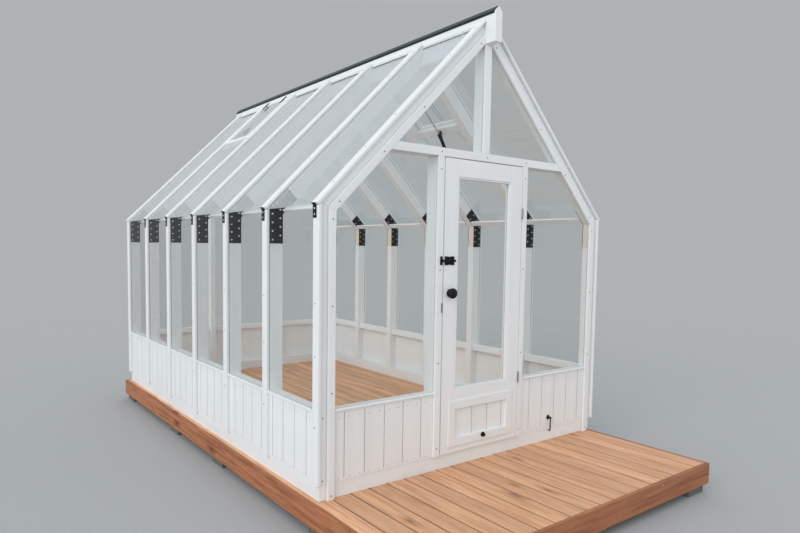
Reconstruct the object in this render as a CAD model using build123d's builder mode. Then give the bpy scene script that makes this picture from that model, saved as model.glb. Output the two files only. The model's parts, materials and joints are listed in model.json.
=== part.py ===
"""Glass greenhouse of seven mitred timber portal frames, on its own raised timber deck.

The frame is in millimetres: X runs across the gable, Y to the rear, Z up.
The origin lies on the ground, under the middle of the front gable's face.
"""

from build123d import *
from math import cos, radians, sin, tan
import os

os.makedirs("parts", exist_ok=True)

# Portal frames and their bays
bay = 640.0
bays = 6
frame_t = 66.0
post_depth = 90.0
rafter_depth = 95.0
half_width = 1249.0
eaves_height = 1680.0
roof_pitch = 45.0

# Deck
deck_height = 200.0
board_thickness = 28.0
rim_thickness = 25.0
rim_depth = 140.0
deck_left_margin = 51.0
deck_right_margin = 1.0
deck_rear_margin = 30.0
terrace_depth = 955.0
joist_thickness = 45.0
front_joist_count = 2
rear_joist_count = 8
middle_pad_rows = 3
pad_size = 190.0

# Base, sills and lower panels
base_height = 95.0
sill_height = 520.0
sill_depth = 52.0
sill_nose = 15.0
sill_fall = 4.0
rail_depth = 66.0
panel_thickness = 12.0

# Glass, glazing strips and roof caps
glass_thickness = 4.0
glass_width = 610.0
glass_lap = 15.0
glass_gap = 3.0
strip_thickness = 17.0
gable_strip_width = 45.0
eaves_overhang = 17.0

# Eaves rails and steel brackets
eaves_rail_width = 45.0
eaves_rail_thickness = 18.0
eaves_rail_setback = 15.0
bracket_thickness = 3.0
bracket_post_leg = 229.0
bracket_rafter_leg = 175.0

# Clips that hold the roof caps' ends over the wall strips
clip_width = 38.0
clip_thickness = 2.5
clip_length = 72.0
clip_gap = 0.3

# Ridge
ridge_thickness = 62.0
ridge_upstand = 56.0
ridge_peak = 31.0
ridge_overhang = 82.0
ridge_cap_thickness = 3.0
ridge_cap_leg = 26.0
ridge_cap_clearance = 0.3
ridge_cap_setback = 12.0

# Gable ends
head_beam_height = 2010.0
head_beam_depth = 52.0
king_post_width = 58.0
door_post_width = 50.0
gable_post_depth = 90.0
king_post_depth = 78.0

# Roof vents
vent_length = 660.0
vent_thickness = 24.0
vent_rail = 45.0
vent_side_gap = 4.0
vent_lap = 4.0
trimmer_width = 64.0
trimmer_thickness = 45.0
left_vent_bay = 4
right_vent_bay = 1
vent_hinge_width = 28.0
vent_hinge_length = 105.0
vent_hinge_spacing = 380.0
vent_hinge_thickness = 4.0

# Vent openers
opener_tube_radius = 14.0
opener_tube_length = 250.0
opener_rod_radius = 5.0
opener_rod_reach = 240.0
opener_angle = 60.0
opener_foot = 44.0
opener_gap = 0.3

# Door
opening_half_width = 366.0
door_hinge_gap = 5.0
door_lock_gap = 7.0
door_bottom_gap = 5.0
door_top_gap = 5.0
door_thickness = 44.0
stile_width = 116.0
top_rail_depth = 113.0
lock_rail_top = 517.0
lock_rail_depth = 129.0
bottom_rail_depth = 96.0
door_glass_setback = 22.0
door_panel_setback = 10.0
door_panel_thickness = 14.0
moulding_width = 55.0
moulding_thickness = 9.0
door_stop_width = 12.0
door_stop_clearance = 5.0

# Door hinges
hinge_height = 76.0
hinge_radius = 5.0
hinge_pin_radius = 2.5
hinge_pin_clearance = 0.1
hinge_leaf_thickness = 2.0
hinge_leaf_depth = 36.0
hinge_segments = 3
hinge_segment_gap = 0.5
lower_hinge_inset = 431.0
upper_hinge_inset = 322.0

# Knob
knob_height = 1150.0
knob_setback = 54.0
knob_radius = 27.0
knob_rings = 5
knob_neck_radius = 9.0
knob_reach = 42.0
rose_radius = 26.0
rose_thickness = 4.0
knob_clearance = 0.5
spindle_radius = 5.0
spindle_clearance = 0.1

# Barrel bolt and its keeper
bolt_rise = 207.0
bolt_setback = 5.0
bolt_plate_length = 82.0
bolt_plate_height = 56.0
bolt_plate_thickness = 2.5
bolt_scallop_radius = 6.0
bolt_rod_radius = 5.0
bolt_rod_offset = 8.0
bolt_guide_width = 12.0
bolt_guide_wall = 3.0
bolt_clearance = 0.1
bolt_travel = 26.0
bolt_tip_setback = 1.0
bolt_knob_radius = 6.0
bolt_knob_length = 20.0
bolt_knob_margin = 3.0
keeper_length = 20.0
keeper_setback = 6.0
keeper_clearance = 0.6

# Eye plate on the door and hook on the front panel
eye_height = 178.0
eye_offset = 15.0
hook_height = 176.0
hook_offset = 738.0
disc_radius = 17.0
disc_thickness = 4.0
eye_ring_radius = 10.0
eye_wire_radius = 2.5
hook_pin_radius = 4.0
hook_pin_length = 26.0
hook_pin_clearance = 0.1
hook_collar_radius = 6.5
hook_head = 2.0
hook_end_play = 0.4
hook_ring_width = 7.0
hook_eye_radius = 8.0
hook_wire_radius = 3.5
hook_length = 86.0
hook_bend_radius = 9.0

# Latch strike on the door post
strike_drop = 92.0
strike_length = 60.0
strike_thickness = 2.0
strike_depth = 11.0

# Levels and lines worked out from the driving dimensions
floor = deck_height
length = bays * bay + frame_t
slope = tan(radians(roof_pitch))
rise_per_offset = 1 / cos(radians(roof_pitch))
apex = eaves_height + half_width * slope
strip_out = glass_thickness + strip_thickness
front_wall = strip_out
rear_wall = length - strip_out
front_glass = front_wall - glass_thickness
rear_glass = rear_wall + glass_thickness
outer_face = half_width + strip_out
ridge_half = ridge_thickness / 2
ridge_side_height = apex - ridge_half * slope + ridge_upstand
post_inner = half_width - post_depth
deck_left = -(half_width + deck_left_margin)
deck_right = half_width + deck_right_margin
deck_front = -terrace_depth
deck_rear = length + deck_rear_margin
door_front = front_wall - strip_out
door_post_outer = opening_half_width + door_post_width


def roof_z(x, offset=0.0):
    """Height above the floor of the line that lies offset outside the rafters' outer face."""
    return apex + offset * rise_per_offset - abs(x) * slope


def roof_point(along, offset=0.0):
    """Point on the right slope: along the fall from the ridge beam's side, and offset outwards."""
    x = ridge_half + along * cos(radians(roof_pitch))
    z = roof_z(ridge_half) - along * sin(radians(roof_pitch))
    return x + offset * sin(radians(roof_pitch)), z + offset * cos(radians(roof_pitch))


def mirrored(points):
    """The same outline on the left of the gable's centre line."""
    return [(-x, z) for x, z in points]


def profile(points, y):
    """Closed outline across the greenhouse, with heights from the floor, at the depth y."""
    with BuildSketch(Plane.XZ.offset(-y)) as outline:
        with BuildLine():
            Polyline(*[(x, floor + z) for x, z in points], close=True)
        make_face()
    return outline.sketch


def long_piece(points, y_from, y_to):
    """Prism of an outline across the greenhouse, from y_from to y_to."""
    extrude(profile(points, y_to), amount=y_to - y_from)


def rectangle(x_from, x_to, y_from, y_to, z):
    """Rectangle in plan at the level z above the ground."""
    with BuildSketch(Plane.XY.offset(z)) as plan:
        with Locations(((x_from + x_to) / 2, (y_from + y_to) / 2)):
            Rectangle(x_to - x_from, y_to - y_from)
    return plan.sketch


def block(x_from, x_to, y_from, y_to, z_from, z_to):
    """Straight timber between six faces, with heights from the floor."""
    extrude(rectangle(x_from, x_to, y_from, y_to, floor + z_from), amount=z_to - z_from)


def save(piece, name):
    """Label a finished piece and write it."""
    piece.part.label = name
    export_step(piece.part, f"parts/{name}.step")


frame_starts = [bay * number for number in range(bays + 1)]
frame_spans = [(start, start + frame_t) for start in frame_starts]
timber_spans = [(max(start, front_wall), min(end, rear_wall)) for start, end in frame_spans]
gable_spans = ((front_wall, front_wall + gable_post_depth), (rear_wall - gable_post_depth, rear_wall))
king_spans = ((front_wall, front_wall + king_post_depth), (rear_wall - king_post_depth, rear_wall))
bay_spans = [(start + frame_t, start + bay) for start in frame_starts[:-1]]
sides = (-1, 1)

# Deck boarding, seen as one boarded floor inside the rims
with BuildPart() as deck_floor:
    block(deck_left + rim_thickness, deck_right - rim_thickness, deck_front + rim_thickness,
          deck_rear - rim_thickness, -board_thickness, 0)
save(deck_floor, "deck_floor")

with BuildPart() as deck_side_rims:
    for edge in (deck_left, deck_right - rim_thickness):
        block(edge, edge + rim_thickness, deck_front + rim_thickness, deck_rear - rim_thickness,
              -rim_depth, 0)
save(deck_side_rims, "deck_side_rims")

with BuildPart() as deck_end_rims:
    for edge in (deck_front, deck_rear - rim_thickness):
        block(deck_left, deck_right, edge, edge + rim_thickness, -rim_depth, 0)
save(deck_end_rims, "deck_end_rims")

# Joists share the terrace and the house's length, with one under the door's wall
first_joist = deck_front + rim_thickness
wall_joist = -joist_thickness / 2
last_joist = deck_rear - rim_thickness - joist_thickness
joist_starts = [first_joist + (wall_joist - first_joist) * number / front_joist_count
                for number in range(front_joist_count)]
joist_starts += [wall_joist + (last_joist - wall_joist) * number / rear_joist_count
                 for number in range(rear_joist_count + 1)]
with BuildPart() as deck_joists:
    for start in joist_starts:
        block(deck_left + rim_thickness, deck_right - rim_thickness, start,
              start + joist_thickness, -rim_depth, -board_thickness)
save(deck_joists, "deck_joists")

# Pads under the joists, one of them at the origin
pad_inset = pad_size / 2 + rim_thickness
pad_columns = (deck_left + pad_inset, 0.0, deck_right - pad_inset)
padded_joists = [joist_starts[front_joist_count + round(rear_joist_count * row / middle_pad_rows)]
                 for row in range(middle_pad_rows)]
pad_lines = [deck_front + pad_inset, *[start + joist_thickness / 2 for start in padded_joists],
             deck_rear - pad_inset]
with BuildPart() as deck_pads:
    for x in pad_columns:
        for y in pad_lines:
            block(x - pad_size / 2, x + pad_size / 2, y - pad_size / 2, y + pad_size / 2,
                  -deck_height, -rim_depth)
save(deck_pads, "deck_pads")

# Base boards all round, under every post; the front one is the door's threshold
with BuildPart() as side_base_boards:
    for side in sides:
        inner, outer = sorted((side * post_inner, side * half_width))
        block(inner, outer, front_wall, rear_wall, 0, base_height)
save(side_base_boards, "side_base_boards")

with BuildPart() as end_base_boards:
    for start, end in gable_spans:
        block(-post_inner, post_inner, start, end, 0, base_height)
save(end_base_boards, "end_base_boards")

# Posts and rafters meet in a mitre from the eaves' outer corner to the frame's inner corner
under_offset = -rafter_depth
eaves_corner = (half_width, eaves_height)
inner_corner = (post_inner, roof_z(post_inner, under_offset))
post_outline = [(post_inner, base_height), (half_width, base_height), eaves_corner, inner_corner]
rafter_outline = [eaves_corner, inner_corner, (ridge_half, roof_z(ridge_half, under_offset)),
                  (ridge_half, roof_z(ridge_half))]

with BuildPart() as frame_posts:
    for start, end in timber_spans:
        long_piece(post_outline, start, end)
        long_piece(mirrored(post_outline), start, end)
save(frame_posts, "frame_posts")

with BuildPart() as rafters:
    for start, end in timber_spans:
        long_piece(rafter_outline, start, end)
        long_piece(mirrored(rafter_outline), start, end)
save(rafters, "rafters")

# Ridge beam: its pointed end stands out of both gables
ridge_bottom = roof_z(ridge_half, under_offset)
ridge_top = ridge_side_height + ridge_peak
ridge_outline = [(-ridge_half, ridge_bottom), (ridge_half, ridge_bottom),
                 (ridge_half, ridge_side_height), (0, ridge_top), (-ridge_half, ridge_side_height)]
with BuildPart() as ridge_beam:
    long_piece(ridge_outline, -ridge_overhang, length + ridge_overhang)
save(ridge_beam, "ridge_beam")

# Metal cap folded over the ridge beam's pointed top
cap_in = ridge_half + ridge_cap_clearance
cap_out = cap_in + ridge_cap_thickness
cap_slope = ridge_peak / ridge_half
cap_outline = [(cap_in, ridge_side_height - ridge_cap_leg), (cap_out, ridge_side_height - ridge_cap_leg),
               (cap_out, ridge_side_height + ridge_cap_thickness),
               (0, ridge_top + ridge_cap_clearance + 2 * ridge_cap_thickness),
               (-cap_out, ridge_side_height + ridge_cap_thickness),
               (-cap_out, ridge_side_height - ridge_cap_leg), (-cap_in, ridge_side_height - ridge_cap_leg),
               (-cap_in, ridge_side_height + ridge_cap_clearance),
               (0, ridge_top + ridge_cap_clearance * 2),
               (cap_in, ridge_side_height + ridge_cap_clearance)]
with BuildPart() as ridge_cap:
    long_piece(cap_outline, ridge_cap_setback - ridge_overhang,
               length + ridge_overhang - ridge_cap_setback)
save(ridge_cap, "ridge_cap")


def pane_on_slope(along_from, along_to, from_offset, to_offset):
    """Outline of a sheet that lies along the right slope."""
    return [roof_point(along_from, from_offset), roof_point(along_to, from_offset),
            roof_point(along_to, to_offset), roof_point(along_from, to_offset)]


# Eaves rails: battens between the gusset plates, flush with the rafters' undersides at the inner corners
corner_run = post_inner + rafter_depth * sin(radians(roof_pitch)) - ridge_half
eaves_rail_foot = corner_run / cos(radians(roof_pitch)) - eaves_rail_setback
eaves_rail_outline = pane_on_slope(eaves_rail_foot - eaves_rail_width, eaves_rail_foot,
                                   under_offset, under_offset + eaves_rail_thickness)
with BuildPart() as eaves_rails:
    for start, end in bay_spans:
        long_piece(eaves_rail_outline, start + bracket_thickness, end - bracket_thickness)
        long_piece(mirrored(eaves_rail_outline), start + bracket_thickness, end - bracket_thickness)
save(eaves_rails, "eaves_rails")

# Bent steel gusset plates on both faces of each eaves joint
leg = bracket_rafter_leg * cos(radians(roof_pitch))
drop = rafter_depth * sin(radians(roof_pitch))
bracket_outline = [(post_inner, eaves_height - bracket_post_leg),
                   (half_width, eaves_height - bracket_post_leg), eaves_corner,
                   (half_width - leg, eaves_height + leg),
                   (half_width - leg - drop, eaves_height + leg - drop), inner_corner]
with BuildPart() as eaves_brackets:
    for start, end in bay_spans:
        for outline in (bracket_outline, mirrored(bracket_outline)):
            long_piece(outline, start, start + bracket_thickness)
            long_piece(outline, end - bracket_thickness, end)
save(eaves_brackets, "eaves_brackets")

# Sills: a rail behind the panels' boards, whose weathered nose covers the boards' upper ends
sill_bottom = sill_height - sill_depth
panel_height = sill_height - sill_nose
panel_in = panel_thickness - glass_thickness
nose = [(panel_in, sill_bottom), (panel_in, panel_height), (-strip_thickness, panel_height),
        (-strip_thickness, sill_height - sill_fall), (-glass_thickness, sill_height)]
side_sill_outline = [(half_width - inward, z) for inward, z in nose]
side_sill_outline += [(half_width - rail_depth, sill_height), (half_width - rail_depth, sill_bottom)]
gable_bays = {
    "front": [(-post_inner, -door_post_outer), (door_post_outer, post_inner)],
    "rear": [(-post_inner, -door_post_outer), (-opening_half_width, opening_half_width),
             (door_post_outer, post_inner)],
}


def gable_sill(x_from, x_to, front):
    """Sill across one gable bay: the front one, or the same turned round for the rear."""
    outline = [(front_wall + inward, z) for inward, z in nose]
    outline += [(frame_t, sill_height), (frame_t, sill_bottom)]
    if not front:
        outline = [(length - y, z) for y, z in outline]
    with BuildSketch(Plane.YZ.offset(x_from)) as section:
        with BuildLine():
            Polyline(*[(y, floor + z) for y, z in outline], close=True)
        make_face()
    extrude(section.sketch, amount=x_to - x_from)


with BuildPart() as sills:
    for start, end in bay_spans:
        long_piece(side_sill_outline, start, end)
        long_piece(mirrored(side_sill_outline), start, end)
    for x_from, x_to in gable_bays["front"]:
        gable_sill(x_from, x_to, True)
    for x_from, x_to in gable_bays["rear"]:
        gable_sill(x_from, x_to, False)
save(sills, "sills")

# Boarded panels between base and sills, in line with the glass above them
with BuildPart() as lower_panels:
    for start, end in bay_spans:
        block(-half_width - glass_thickness, -half_width + panel_in, start, end,
              base_height, panel_height)
        block(half_width - panel_in, half_width + glass_thickness, start, end,
              base_height, panel_height)
    for x_from, x_to in gable_bays["front"]:
        block(x_from, x_to, front_glass, front_wall + panel_in, base_height, panel_height)
    for x_from, x_to in gable_bays["rear"]:
        block(x_from, x_to, rear_wall - panel_in, rear_glass, base_height, panel_height)
save(lower_panels, "lower_panels")

# Side glass stands on the sills and laps the posts
pane_spans = [(start + (bay + frame_t - glass_width) / 2, start + (bay + frame_t + glass_width) / 2)
              for start in frame_starts[:-1]]
wall_glass_top = eaves_height - glass_thickness - glass_gap
with BuildPart() as wall_glass:
    for start, end in pane_spans:
        block(-half_width - glass_thickness, -half_width, start, end, sill_height, wall_glass_top)
        block(half_width, half_width + glass_thickness, start, end, sill_height, wall_glass_top)
save(wall_glass, "wall_glass")

# Glazing strips over the side posts, cut at the top to lie under the roof glass
strip_in = half_width + glass_thickness
wall_strip_outline = [(strip_in, base_height), (outer_face, base_height),
                      (outer_face, roof_z(outer_face)), (strip_in, roof_z(strip_in))]
with BuildPart() as wall_strips:
    for start in frame_starts:
        long_piece(wall_strip_outline, start, start + frame_t)
        long_piece(mirrored(wall_strip_outline), start, start + frame_t)
save(wall_strips, "wall_strips")

# Roof caps over the rafters, from the ridge beam to a square cut at the eaves
cap_end_x = outer_face + strip_thickness * sin(radians(roof_pitch))
cap_foot = roof_z(outer_face, glass_thickness)
roof_cap_outline = [(ridge_half, roof_z(ridge_half, glass_thickness)),
                    (ridge_half, roof_z(ridge_half, strip_out)),
                    (cap_end_x, roof_z(cap_end_x, strip_out)), (outer_face, cap_foot)]
with BuildPart() as roof_caps:
    for start in frame_starts:
        long_piece(roof_cap_outline, start, start + frame_t)
        long_piece(mirrored(roof_cap_outline), start, start + frame_t)
save(roof_caps, "roof_caps")

# Folded clips on the strips: an upright leg, and a leg along the cap's square end
clip_fold = clip_thickness * tan(radians(roof_pitch / 2))
clip_shift = clip_thickness * sin(radians(roof_pitch))
clip_lip = strip_thickness * sin(radians(roof_pitch))
clip_outline = [(outer_face, cap_foot - clip_length), (outer_face + clip_thickness, cap_foot - clip_length),
                (outer_face + clip_thickness, cap_foot - clip_fold),
                (outer_face + clip_lip + clip_shift, cap_foot + clip_lip - clip_shift),
                (outer_face + clip_lip, cap_foot + clip_lip), (outer_face, cap_foot)]
clip_outline = [(x + clip_gap, z) for x, z in clip_outline]
with BuildPart() as eaves_clips:
    for start, end in frame_spans[:-1]:
        long_piece(clip_outline, end - clip_width, end)
        long_piece(mirrored(clip_outline), end - clip_width, end)
save(eaves_clips, "eaves_clips")

# Roof glass: one pane a bay, a shorter one below each vent, and the vents' own panes
slope_length = (half_width + eaves_overhang - ridge_half) / cos(radians(roof_pitch))
full_pane = pane_on_slope(glass_gap, slope_length, 0, glass_thickness)
short_pane = pane_on_slope(vent_length + vent_lap, slope_length, 0, glass_thickness)
vent_pane = pane_on_slope(glass_gap + vent_rail, vent_length - vent_rail,
                          (vent_thickness - glass_thickness) / 2, (vent_thickness + glass_thickness) / 2)
with BuildPart() as roof_glass:
    for number, (start, end) in enumerate(pane_spans):
        long_piece(short_pane if number == right_vent_bay else full_pane, start, end)
        long_piece(mirrored(short_pane if number == left_vent_bay else full_pane), start, end)
    for number, outline in ((right_vent_bay, vent_pane), (left_vent_bay, mirrored(vent_pane))):
        start, end = bay_spans[number]
        inset = vent_side_gap + vent_rail
        long_piece(outline, start + inset, end - inset)
save(roof_glass, "roof_glass")

# Vent trimmers carry the foot of each vent between two rafters
trimmer_outline = pane_on_slope(vent_length + vent_lap - trimmer_width / 2,
                                vent_length + vent_lap + trimmer_width / 2, -trimmer_thickness, 0)
with BuildPart() as vent_trimmers:
    long_piece(mirrored(trimmer_outline), *bay_spans[left_vent_bay])
    long_piece(trimmer_outline, *bay_spans[right_vent_bay])
save(vent_trimmers, "vent_trimmers")


def vent_frame(number, side):
    """Four rails of a roof vent: rails along the ridge and the foot, and two side rails."""
    start, end = bay_spans[number]
    start, end = start + vent_side_gap, end - vent_side_gap
    outer = pane_on_slope(glass_gap, vent_length, 0, vent_thickness)
    inner = pane_on_slope(glass_gap + vent_rail, vent_length - vent_rail, -vent_thickness, 2 * vent_thickness)
    if side < 0:
        outer, inner = mirrored(outer), mirrored(inner)
    extrude(profile(outer, end), amount=end - start)
    extrude(profile(inner, end - vent_rail), amount=end - start - 2 * vent_rail, mode=Mode.SUBTRACT)


with BuildPart() as vent_frames:
    vent_frame(left_vent_bay, -1)
    vent_frame(right_vent_bay, 1)
save(vent_frames, "vent_frames")

hinge_strap = pane_on_slope(ridge_cap_thickness + 2 * ridge_cap_clearance, vent_hinge_length,
                            vent_thickness, vent_thickness + vent_hinge_thickness)
with BuildPart() as vent_hinges:
    for number, outline in ((left_vent_bay, mirrored(hinge_strap)), (right_vent_bay, hinge_strap)):
        middle = sum(bay_spans[number]) / 2
        for y in (middle - vent_hinge_spacing / 2, middle + vent_hinge_spacing / 2):
            long_piece(outline, y - vent_hinge_width / 2, y + vent_hinge_width / 2)
save(vent_hinges, "vent_hinges")

# Automatic openers: a foot under the trimmer, a gas tube, and a thin rod up to the vent's pane rail
foot_top = -trimmer_thickness - opener_gap
foot_along = vent_length + vent_lap
foot_outline = pane_on_slope(foot_along - opener_foot / 2, foot_along + opener_foot / 2,
                             foot_top - opener_foot, foot_top)


def slope_cylinder(side, y, along, offset, angle, radius, reach):
    """Round bar from a point on a slope, falling at an angle below the level."""
    x, z = roof_point(along, offset)
    axis = Plane(origin=(side * x, y, floor + z),
                 z_dir=(side * cos(radians(angle)), 0, -sin(radians(angle))))
    with BuildSketch(axis) as section:
        Circle(radius)
    extrude(section.sketch, amount=reach)


with BuildPart() as vent_openers:
    for number, side in ((left_vent_bay, -1), (right_vent_bay, 1)):
        y = sum(bay_spans[number]) / 2
        long_piece(foot_outline if side > 0 else mirrored(foot_outline),
                   y - opener_foot / 2, y + opener_foot / 2)
        slope_cylinder(side, y, foot_along - opener_rod_reach, foot_top - opener_foot / 2,
                       roof_pitch, opener_rod_radius, opener_rod_reach)
        slope_cylinder(side, y, foot_along, foot_top - opener_foot / 2, opener_angle,
                       opener_tube_radius, opener_tube_length)
save(vent_openers, "vent_openers")

# Gable ends: door posts in front, plain studs behind, and a king post over each beam
king_half = king_post_width / 2
beam_top = head_beam_height + head_beam_depth
with BuildPart() as gable_posts:
    for start, end in gable_spans:
        block(-door_post_outer, -opening_half_width, start, end, base_height, head_beam_height)
        block(opening_half_width, door_post_outer, start, end, base_height, head_beam_height)
    for start, end in king_spans:
        block(-king_half, king_half, start, end, beam_top, ridge_bottom)
save(gable_posts, "gable_posts")


def under_x(z, outward=0.0):
    """Half width inside the rafters at a height, or a little outward of their inner face."""
    return (roof_z(0, under_offset + outward) - z) / slope


beam_outline = [(-under_x(head_beam_height), head_beam_height), (under_x(head_beam_height), head_beam_height),
                (under_x(beam_top), beam_top), (-under_x(beam_top), beam_top)]
with BuildPart() as gable_beams:
    for start, end in gable_spans:
        long_piece(beam_outline, start, end)
save(gable_beams, "gable_beams")

# Gable glass laps its posts, beam and rafters, and stands on the sills
post_lap = post_inner + glass_lap
door_post_lap = door_post_outer - glass_lap
lower_top = head_beam_height + glass_lap
upper_bottom = beam_top - glass_lap
upper_top = ridge_bottom - glass_gap
side_pane = [(post_lap, sill_height), (door_post_lap, sill_height), (door_post_lap, lower_top),
             (under_x(lower_top, glass_lap), lower_top),
             (post_lap, roof_z(post_lap, under_offset + glass_lap))]
upper_pane = [(under_x(upper_bottom, glass_lap), upper_bottom), (king_half - glass_lap, upper_bottom),
              (king_half - glass_lap, upper_top), (under_x(upper_top, glass_lap), upper_top)]
middle_half = opening_half_width + glass_lap
middle_pane = [(-middle_half, sill_height), (middle_half, sill_height),
               (middle_half, lower_top), (-middle_half, lower_top)]
with BuildPart() as gable_glass:
    for y in (front_glass, rear_wall):
        for pane in (side_pane, upper_pane):
            long_piece(pane, y, y + glass_thickness)
            long_piece(mirrored(pane), y, y + glass_thickness)
    long_piece(middle_pane, rear_wall, rear_glass)
save(gable_glass, "gable_glass")

# Strips that hold the gable glass: corner uprights down to the deck, door posts and king post
strip_starts = (door_front, rear_glass)
upright_outer = post_inner + gable_strip_width
strip_offset = under_offset + gable_strip_width
corner_upright = [(post_inner, 0), (upright_outer, 0), (upright_outer, roof_z(upright_outer, strip_offset)),
                  (post_inner, roof_z(post_inner, under_offset))]
with BuildPart() as gable_upright_strips:
    for y in strip_starts:
        long_piece(corner_upright, y, y + strip_thickness)
        long_piece(mirrored(corner_upright), y, y + strip_thickness)
        block(door_post_outer - door_post_width, door_post_outer, y, y + strip_thickness,
              base_height, head_beam_height)
        block(-door_post_outer, -opening_half_width, y, y + strip_thickness,
              base_height, head_beam_height)
        block(-king_half, king_half, y, y + strip_thickness, beam_top, ridge_bottom)
save(gable_upright_strips, "gable_upright_strips")

rafter_strip = [(post_inner, roof_z(post_inner, under_offset)),
                (upright_outer, roof_z(upright_outer, strip_offset)),
                (ridge_half, roof_z(ridge_half, strip_offset)), (ridge_half, ridge_bottom)]
with BuildPart() as gable_rafter_strips:
    for y in strip_starts:
        long_piece(rafter_strip, y, y + strip_thickness)
        long_piece(mirrored(rafter_strip), y, y + strip_thickness)
save(gable_rafter_strips, "gable_rafter_strips")

with BuildPart() as gable_beam_strips:
    for y in strip_starts:
        long_piece(beam_outline, y, y + strip_thickness)
save(gable_beam_strips, "gable_beam_strips")

# Door leaf: two stiles and three rails around the glass and the boarded panel
door_lock_edge = -opening_half_width + door_lock_gap
door_hinge_edge = opening_half_width - door_hinge_gap
door_back = door_front + door_thickness
door_bottom = base_height + door_bottom_gap
door_top = head_beam_height - door_top_gap
light_left = door_lock_edge + stile_width
light_right = door_hinge_edge - stile_width
light_top = door_top - top_rail_depth
panel_bottom = door_bottom + bottom_rail_depth
panel_top = lock_rail_top - lock_rail_depth
knob_x = door_lock_edge + knob_setback
bolt_height = knob_height + bolt_rise
strike_height = knob_height - strike_drop


def bar_along_y(x, z, radius, y_from, y_to, mode=Mode.ADD):
    """Round bar or bore along Y at a place on the door, with the height from the floor."""
    with BuildSketch(Plane.XZ.offset(-y_to)) as section:
        with Locations((x, floor + z)):
            Circle(radius)
    extrude(section.sketch, amount=y_to - y_from, mode=mode)


with BuildPart() as door_stiles:
    block(door_lock_edge, light_left, door_front, door_back, door_bottom, door_top)
    block(light_right, door_hinge_edge, door_front, door_back, door_bottom, door_top)
    bar_along_y(knob_x, knob_height, spindle_radius + spindle_clearance, door_front, door_back, Mode.SUBTRACT)
save(door_stiles, "door_stiles")

with BuildPart() as door_rails:
    for z_from, z_to in ((door_bottom, panel_bottom), (panel_top, lock_rail_top), (light_top, door_top)):
        block(light_left, light_right, door_front, door_back, z_from, z_to)
save(door_rails, "door_rails")

with BuildPart() as door_glass:
    block(light_left, light_right, door_front + door_glass_setback,
          door_front + door_glass_setback + glass_thickness, lock_rail_top, light_top)
save(door_glass, "door_glass")

with BuildPart() as door_panel:
    block(light_left, light_right, door_front + door_panel_setback,
          door_front + door_panel_setback + door_panel_thickness, panel_bottom, panel_top)
save(door_panel, "door_panel")

# Raised moulding planted round the lower panel
with BuildPart() as door_moulding:
    block(light_left - moulding_width, light_right + moulding_width, door_front - moulding_thickness,
          door_front, panel_bottom - moulding_width, panel_top + moulding_width)
    extrude(rectangle(light_left, light_right, door_front - moulding_thickness, door_front,
                      floor + panel_bottom), amount=panel_top - panel_bottom, mode=Mode.SUBTRACT)
save(door_moulding, "door_moulding")

# Stops on the door posts and under the beam, behind the closed door
stop_front = door_back + door_stop_clearance
with BuildPart() as door_stops:
    block(-opening_half_width, opening_half_width, stop_front, frame_t,
          head_beam_height - door_stop_width, head_beam_height)
    block(-opening_half_width, -opening_half_width + door_stop_width, stop_front, frame_t,
          base_height, head_beam_height)
    block(opening_half_width - door_stop_width, opening_half_width, stop_front, frame_t,
          base_height, head_beam_height)
save(door_stops, "door_stops")

# Butt hinges: two knuckles and the pin on the post's leaf, one knuckle on the door's leaf
hinge_x = opening_half_width - door_hinge_gap / 2
hinge_y = door_front - hinge_radius - hinge_segment_gap
segment = hinge_height / hinge_segments
door_knuckles = range(1, hinge_segments, 2)
post_knuckles = range(0, hinge_segments, 2)


def knuckles(level, numbers):
    """The barrel segments of one hinge that belong to one leaf."""
    bottom = floor + level - hinge_height / 2
    for number in numbers:
        z = bottom + number * segment + hinge_segment_gap / 2
        with BuildSketch(Plane.XY.offset(z)) as section:
            with Locations((hinge_x, hinge_y)):
                Circle(hinge_radius)
        extrude(section.sketch, amount=segment - hinge_segment_gap)


hinge_levels = (door_bottom + lower_hinge_inset, door_top - upper_hinge_inset)


def hinge_leaf(level, numbers, x_from):
    """Leaf let into the gap beside the door, and the webs that join it to its knuckles."""
    bottom = level - hinge_height / 2
    block(x_from, x_from + hinge_leaf_thickness, door_front, door_front + hinge_leaf_depth,
          bottom, bottom + hinge_height)
    for number in numbers:
        z = bottom + number * segment + hinge_segment_gap / 2
        block(x_from, x_from + hinge_leaf_thickness, hinge_y, door_front,
              z, z + segment - hinge_segment_gap)


def hinge_pin(level, radius, mode=Mode.ADD):
    """Pin of one hinge, or the bore for it."""
    with BuildSketch(Plane.XY.offset(floor + level - hinge_height / 2)) as section:
        with Locations((hinge_x, hinge_y)):
            Circle(radius)
    extrude(section.sketch, amount=hinge_height, mode=mode)


with BuildPart() as door_hinge_leaves:
    for level in hinge_levels:
        knuckles(level, door_knuckles)
        hinge_leaf(level, door_knuckles, door_hinge_edge)
        hinge_pin(level, hinge_pin_radius + hinge_pin_clearance, Mode.SUBTRACT)
save(door_hinge_leaves, "door_hinge_leaves")

with BuildPart() as post_hinge_leaves:
    for level in hinge_levels:
        knuckles(level, post_knuckles)
        hinge_leaf(level, post_knuckles, opening_half_width - hinge_leaf_thickness)
        hinge_pin(level, hinge_pin_radius)
save(post_hinge_leaves, "post_hinge_leaves")

# Knobs on one spindle through the lock stile, turning in a rose on each face

def ball(x, y, z, radius):
    """Round knob turned about Y in narrow rings, with the height from the floor."""
    turns = [radians(180 * number / knob_rings) for number in range(knob_rings + 1)]
    with BuildSketch(Plane.XY.offset(floor + z)) as half:
        with BuildLine():
            Polyline(*[(x + radius * sin(a), y - radius * cos(a)) for a in turns], close=True)
        make_face()
    revolve(half.sketch, axis=Axis((x, y, floor + z), (0, 1, 0)), revolution_arc=360)


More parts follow.
